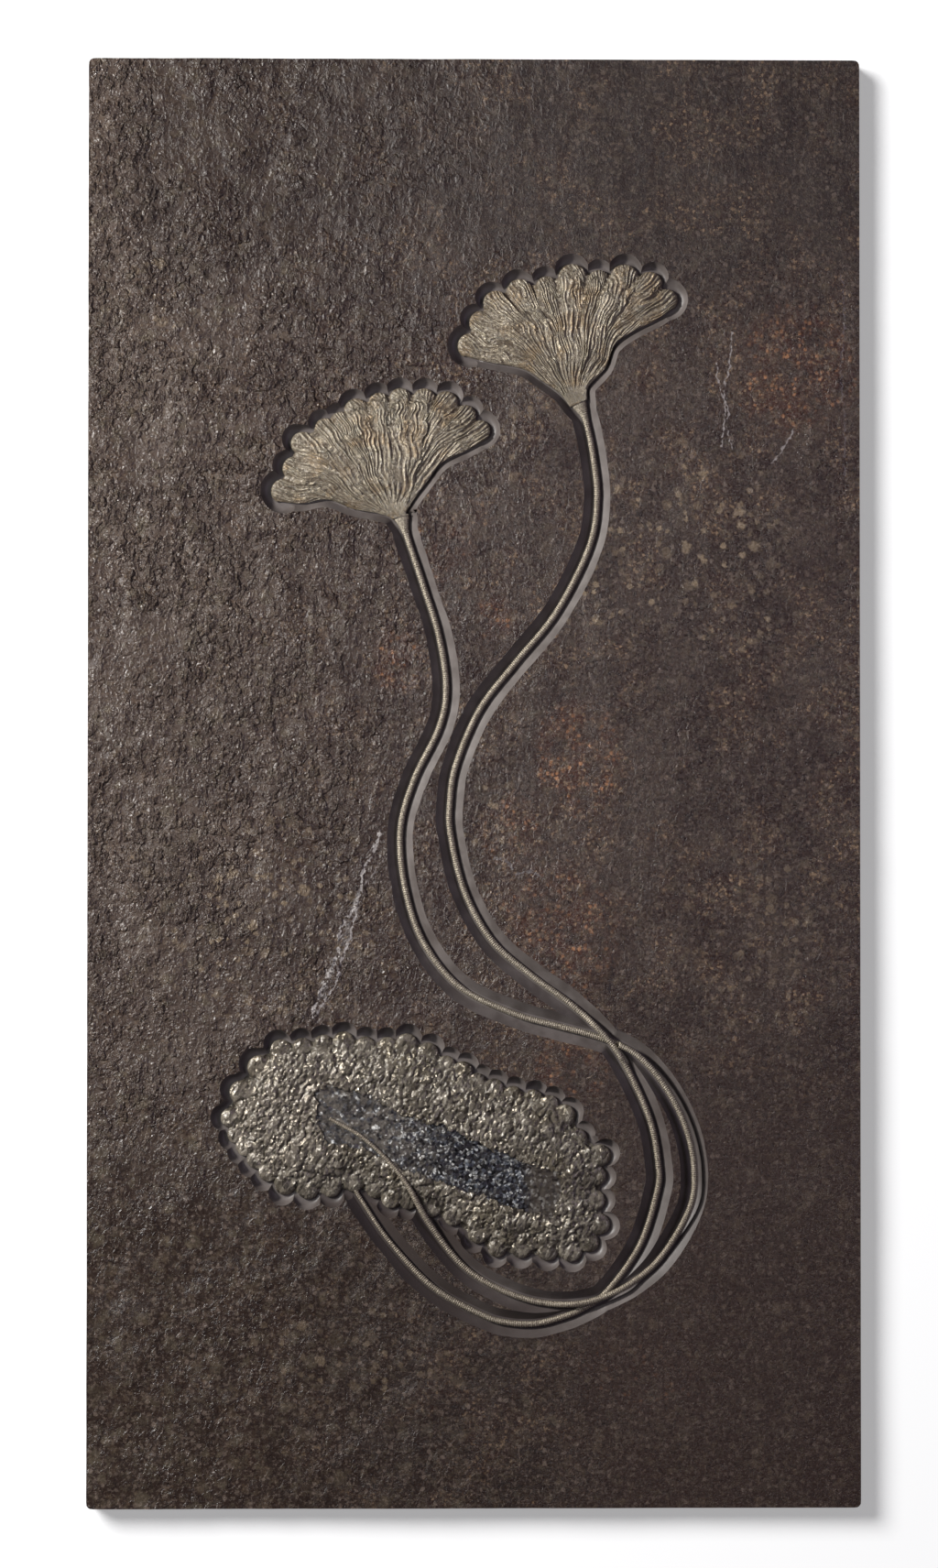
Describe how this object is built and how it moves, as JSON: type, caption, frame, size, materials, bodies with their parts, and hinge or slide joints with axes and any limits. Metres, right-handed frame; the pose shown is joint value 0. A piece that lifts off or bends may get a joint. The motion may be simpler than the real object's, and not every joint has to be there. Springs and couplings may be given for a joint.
{
  "type": "fossil crinoid plate",
  "caption": "Sawn dark shale slab with long-stemmed sea lilies and the shell-grown driftwood they hung from, each lying in a ground-out recess.",
  "frame": {"origin": "under the middle of the slab's flat back, which lies on the surface", "axes": "+Z out of the slab's face, +Y along its length towards the crowns, +X across it to the right as the face is looked at"},
  "size_m": [0.846, 1.585, 0.0351],
  "materials": {
    "matrix_stone": "dark brown split shale with shell specks, ground smooth and paler in the recess walls",
    "crown_calcite": "golden tan pyritised calcite, satin, with fine wavy arm ridges",
    "stem_calcite": "pale gold-grey calcite with fine rings, satin",
    "shell": "silvery tan fossil shell with bright glints",
    "fossil_wood": "blue-black granular jet, glossy"
  },
  "bodies": {
    "root": {"matrix_slab": "matrix_stone", "upper_crown": "crown_calcite", "lower_crown": "crown_calcite", "upper_stem": "stem_calcite", "lower_stem": "stem_calcite", "shell_crust": "shell", "driftwood": "fossil_wood"}
  },
  "joints": []
}
